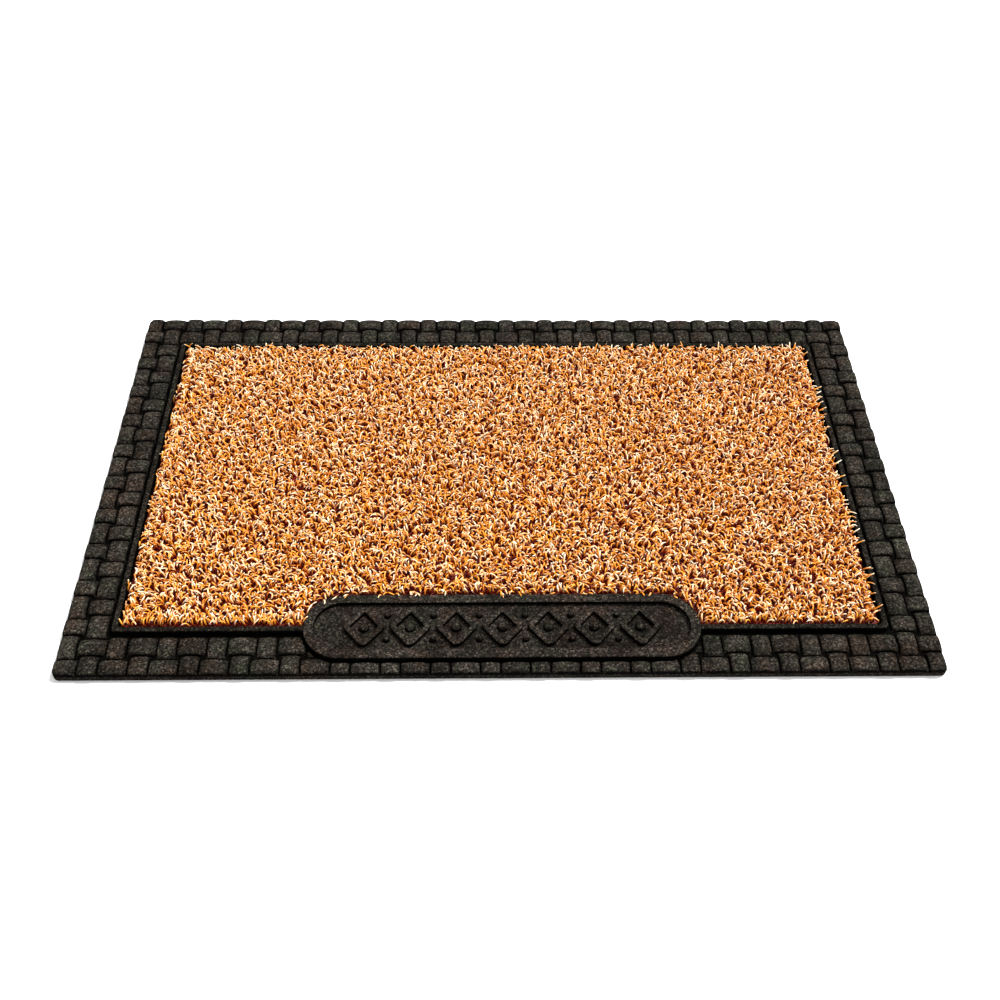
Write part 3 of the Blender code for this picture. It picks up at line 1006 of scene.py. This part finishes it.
class DOORMAT_OT_turf_blades(bpy.types.Operator):
    """Stand the curly blades on the sheet, patch by patch"""
    bl_idname = "doormat.turf_blades"
    bl_label = "Turf Blades"

    segments: bpy.props.IntProperty(name="Segments", default=6, min=3,
                                    description="Faces along one side of a blade")
    stem: bpy.props.FloatProperty(name="Stem", default=0.36, min=0.1, max=0.9,
                                  description="Straight share of a blade, below its curl")
    edge_margin: length("Edge Margin", "Pile's outline to the outermost roots", -0.0013)
    edge_band: length("Edge Band", "Strip along the outline where blades curl inwards", 0.0045)
    left_extra: bpy.props.FloatProperty(name="Left Extra", default=0.7, min=0.0,
                                        description="How much wider that strip is on the left")
    wall_gap: length("Wall Gap", "Cartouche's wall to the nearest roots", 0.0014)

    def blade(self):
        """A straight blade of unit size: four-sided, tapered, closed at both ends."""
        bm = bmesh.new()
        rings = []
        heights = [0.0] + [self.stem + (1 - self.stem) * step / (self.segments - 1)
                           for step in range(self.segments)]
        for along in heights:
            taper = 1.0 - 0.16 * along - 0.34 * along ** 6
            corners = ((-0.5, 0.0), (0.0, -0.5), (0.5, 0.0), (0.0, 0.5))
            rings.append([bm.verts.new((x * taper, y * taper, along)) for x, y in corners])
        for lower, upper in zip(rings, rings[1:]):
            for index in range(4):
                after = (index + 1) % 4
                bm.faces.new((lower[index], lower[after], upper[after], upper[index]))
        bm.faces.new(reversed(rings[0]))
        bm.faces.new(rings[-1])
        bmesh.ops.recalc_face_normals(bm, faces=bm.faces)
        # The bend swaps left and right, so the faces look inwards until then.
        bmesh.ops.reverse_faces(bm, faces=bm.faces)
        return linked("turf_blade", bm)

    def tree(self, blade, sizes, finish):
        tree, size = geometry_tree("turf_patch", sizes)
        roots = self.roots(tree, size)
        seed = size["Seed"]
        x, y, z = split(tree, add_node(tree, "GeometryNodeInputPosition"))
        curl = random_number(tree, 0.0, 1.0, seed + 3)
        # Blades along the insert's edge curl inwards, in a wider strip on the left.
        # Some beyond that stand straighter and lean out over the frame, mostly at right.
        within_x = size["Reach X"] - (x - size["Field X"]).math("ABSOLUTE")
        within_y = size["Reach Y"] - y.math("ABSOLUTE")
        within = within_x.math("MINIMUM", within_y)
        outward = (y.math("SIGN") * (within_y < within + 0.001)).math(
            "ARCTAN2", x.math("SIGN") * (within_x < within + 0.001))
        edge = within < self.edge_band * (1 + (x < 0.0) * self.left_extra)
        share = (x > 0.0) * (within_x < within_y) * 0.30 + (y > 0.0) * 0.05
        leaning = ((1 - edge) * (within < self.edge_band * 2.2)
                   * (random_number(tree, 0.0, 1.0, seed + 9) < share))
        turn = random_number(tree, -math.pi, math.pi, seed + 1)
        kinds = {"root_x": x, "root_y": y,
                 "turn": turn + edge * (outward + math.pi - turn * 0.6)
                 + leaning * (outward - turn * 0.9),
                 "lean": random_number(tree, -0.30, 0.60, seed + 2) * (1 - edge * 0.5)
                 * (1 - leaning) + leaning * 0.8 + edge * 0.12,
                 "curl": (0.4 + curl.math("POWER", 1.5) * 4.0) * (1 - leaning * 0.8),
                 "veer": random_number(tree, -0.92, 0.92, seed + 4),
                 "reach": (size["Shortest"] + (size["Longest"] - size["Shortest"]) * curl)
                 * random_number(tree, 0.80, 1.05, seed + 5),
                 "tone": random_number(tree, 0.02, 0.98, seed + 6)}
        for name, value in kinds.items():
            roots = stored(tree, roots, name, value)
        blades = add_node(tree, "GeometryNodeInstanceOnPoints",
                          {"Points": roots,
                           "Instance": add_node(tree, "GeometryNodeObjectInfo",
                                                {"Object": blade}, output="Geometry")})
        blades = add_node(tree, "GeometryNodeRealizeInstances", {"Geometry": blades})
        read = {name: add_node(tree, "GeometryNodeInputNamedAttribute", {"Name": name},
                               output="Attribute", data_type="FLOAT") for name in kinds}
        # The colour map holds the blade's tone and the place along it; the unit
        # blade's own width and thickness keep the faces on the map from being flat.
        wide, thick, along = x - read["root_x"], y - read["root_y"], z - size["Root Height"]
        border, blur = 0.01, 0.012
        spot = join(tree, read["tone"] + wide * blur,
                    border + along * (1 - 2 * border) + thick * blur)
        mapped = stored(tree, blades, "OFBake", spot, "FLOAT2", "CORNER")
        bent = add_node(tree, "GeometryNodeSetPosition",
                        {"Geometry": mapped,
                         "Position": self.bent_place(tree, read, size, wide, thick, along)})
        end_tree(tree, bent, finish)
        return tree

    @staticmethod
    def roots(tree, size):
        """A jittered grid of roots, kept off the cartouche."""
        spacing = size["Spacing"]
        count_x = (size["Patch Length"] / spacing).math("ROUND")
        count_y = (size["Patch Depth"] / spacing).math("ROUND")
        grid = add_node(tree, "GeometryNodeMeshGrid",
                        {"Size X": size["Patch Length"] - size["Patch Length"] / count_x,
                         "Size Y": size["Patch Depth"] - size["Patch Depth"] / count_y,
                         "Vertices X": count_x, "Vertices Y": count_y}, output="Mesh")
        shake_x = random_number(tree, -0.5, 0.5, size["Seed"] + 7) * spacing
        shake_y = random_number(tree, -0.5, 0.5, size["Seed"] + 8) * spacing
        offset = join(tree, size["Patch X"] + shake_x, size["Patch Y"] + shake_y,
                      size["Root Height"])
        moved = add_node(tree, "GeometryNodeSetPosition", {"Geometry": grid, "Offset": offset})
        x, y, _ = split(tree, add_node(tree, "GeometryNodeInputPosition"))
        bitten = from_cartouche(x, y, size) < size["Wall Gap"]
        return add_node(tree, "GeometryNodeDeleteGeometry",
                        {"Geometry": moved, "Selection": bitten}, domain="POINT")

    def bent_place(self, tree, read, size, wide, thick, along):
        """Where a point of a straight unit blade goes: a straight stem, then a curl.

        Along the curl the blade tips over and veers to one side, both at a steady
        rate.  The two half sums below are that path's exact horizontal parts.
        """
        wide, thick = wide * size["Blade Width"], thick * size["Blade Thickness"]
        on_stem = along.math("MINIMUM", self.stem)
        on_curl = (along - on_stem) / (1 - self.stem)
        start, curl = read["lean"], read["curl"]
        tipped, veered = start + curl * on_curl, curl * read["veer"] * on_curl
        reach = read["reach"] * (1 - self.stem)
        stem = on_stem * read["reach"]
        fast, slow = curl * (1 + read["veer"]), curl * (1 - read["veer"])
        fast_end, slow_end = start + fast * on_curl, start + slow * on_curl
        forward = (stem * start.math("SINE")
                   + thick * tipped.math("COSINE") * veered.math("COSINE")
                   - wide * veered.math("SINE")
                   + ((start.math("COSINE") - fast_end.math("COSINE")) / fast
                      + (start.math("COSINE") - slow_end.math("COSINE")) / slow) * reach * 0.5)
        sideways = (thick * tipped.math("COSINE") * veered.math("SINE")
                    + wide * veered.math("COSINE")
                    + ((slow_end.math("SINE") - start.math("SINE")) / slow
                       - (fast_end.math("SINE") - start.math("SINE")) / fast) * reach * 0.5)
        upward = (stem * start.math("COSINE") - thick * tipped.math("SINE")
                  + (tipped.math("SINE") - start.math("SINE")) * reach / curl)
        cosine, sine = read["turn"].math("COSINE"), read["turn"].math("SINE")
        return join(tree, read["root_x"] + forward * cosine - sideways * sine,
                    read["root_y"] + forward * sine + sideways * cosine,
                    size["Root Height"] + upward)

    def execute(self, context):
        settings = context.scene.door_mat_turf
        reach_x = PILE_HIGH.x - settings.left_shift - self.edge_margin
        reach_y = PILE_HIGH.y - self.edge_margin
        size_x, size_y = 2 * reach_x / settings.patches_x, 2 * reach_y / settings.patches_y
        sizes = {"Reach X": reach_x, "Reach Y": reach_y, "Field X": -settings.left_shift,
                 "Patch X": 0.0, "Patch Y": 0.0, "Patch Length": size_x,
                 "Patch Depth": size_y, "Spacing": settings.blade_spacing,
                 "Root Height": SHEET_HIGH.z - 0.0002, "Wall Gap": self.wall_gap,
                 "Blade Width": settings.blade_width,
                 "Blade Thickness": settings.blade_thickness,
                 "Shortest": settings.shortest, "Longest": settings.longest,
                 "Seed": settings.seed, **cartouche_sizes()}
        blade = self.blade()
        tree = self.tree(blade, sizes, turf_blade_plastic())
        helpers = ("root_x", "root_y", "turn", "lean", "curl", "veer", "reach", "tone")
        seed_step = 20
        for index in range(settings.patches_x * settings.patches_y):
            row, column = divmod(index, settings.patches_x)
            sizes["Patch X"] = -settings.left_shift - reach_x + (column + 0.5) * size_x
            sizes["Patch Y"] = -reach_y + (row + 0.5) * size_y
            sizes["Seed"] = settings.seed + seed_step * index
            patch = grown(f"turf_blades_{index + 1}", tree, sizes)
            for name in helpers:
                patch.data.attributes.remove(patch.data.attributes[name])
            place_piece(patch, "turf_blades", "turf_pile")
        bpy.data.objects.remove(blade, do_unlink=True)
        return {"FINISHED"}


# ------------------------------------------------------------------- stage
class DOORMAT_OT_studio(bpy.types.Operator):
    """Lay the pale floor, light it softly and stand the camera"""
    bl_idname = "doormat.studio"
    bl_label = "Studio"

    floor_size: length("Floor Size", "Width of the floor", 9.0)
    floor_thickness: length("Floor Thickness", "Thickness of the floor", 0.02)

    def execute(self, context):
        scene, settings = context.scene, context.scene.door_mat_studio
        bm = bmesh.new()
        half = self.floor_size / 2
        add_box(bm, (-half, half), (-half, half), (-self.floor_thickness, 0.0))
        floor = linked("studio_floor", bm, studio_floor_paint())

        world = bpy.data.worlds.new("studio_world")
        world.use_nodes = True
        sky = world.node_tree.nodes["Background"]
        sky.inputs["Color"].default_value = (1.0, 1.0, 1.0, 1.0)
        sky.inputs["Strength"].default_value = settings.sky_strength
        scene.world = world
        light = bpy.data.lights.new("studio_key", "SUN")
        light.energy = settings.sun_strength
        light.angle = math.radians(14)
        key = bpy.data.objects.new("studio_key", light)
        key.rotation_euler = (math.radians(-20), math.radians(29), 0.0)
        scene.collection.objects.link(key)

        lens = bpy.data.cameras.new("studio_camera")
        lens.lens = settings.lens
        lens.sensor_width = 36.0
        lens.clip_start, lens.clip_end = 0.01, 50.0
        camera = bpy.data.objects.new("studio_camera", lens)
        camera.matrix_world = (Matrix.Translation(settings.camera_place)
                               @ Matrix.Rotation(-settings.camera_turn, 4, "Z")
                               @ Matrix.Rotation(math.pi / 2 - settings.camera_dip, 4, "X")
                               @ Matrix.Rotation(settings.camera_roll, 4, "Z"))
        scene.collection.objects.link(camera)
        scene.camera = camera
        scene.view_settings.view_transform = "Standard"
        return {"FINISHED"}


# ----------------------------------------------------------------- sidebar
BUILDERS = (DOORMAT_OT_base_slab, DOORMAT_OT_woven_border, DOORMAT_OT_frame,
            DOORMAT_OT_cartouche, DOORMAT_OT_lozenge_band, DOORMAT_OT_glue_bed,
            DOORMAT_OT_turf_sheet, DOORMAT_OT_turf_blades, DOORMAT_OT_studio)


class DOORMAT_PT_sidebar(bpy.types.Panel):
    """Sizes and colours of the mat, and the steps that build it"""
    bl_label = "Door Mat"
    bl_idname = "DOORMAT_PT_sidebar"
    bl_space_type = "VIEW_3D"
    bl_region_type = "UI"
    bl_category = "Door Mat"

    def draw(self, context):
        scene = context.scene
        for settings in (scene.door_mat_rubber, scene.door_mat_turf, scene.door_mat_studio):
            box = self.layout.box()
            for name in settings.__annotations__:
                box.prop(settings, name)
        for builder in BUILDERS:
            self.layout.operator(builder.bl_idname)


SETTINGS = {"door_mat_rubber": DoorMatRubberSettings, "door_mat_turf": DoorMatTurfSettings,
            "door_mat_studio": DoorMatStudioSettings}


def register():
    for item in (*SETTINGS.values(), *BUILDERS, DOORMAT_PT_sidebar):
        bpy.utils.register_class(item)
    for name, group in SETTINGS.items():
        setattr(bpy.types.Scene, name, bpy.props.PointerProperty(type=group))


def unregister():
    for name in SETTINGS:
        delattr(bpy.types.Scene, name)
    for item in reversed((*SETTINGS.values(), *BUILDERS, DOORMAT_PT_sidebar)):
        bpy.utils.unregister_class(item)


def main():
    register()
    for builder in BUILDERS:
        group, name = builder.bl_idname.split(".")
        getattr(getattr(bpy.ops, group), name)()


if __name__ == "__main__":
    main()
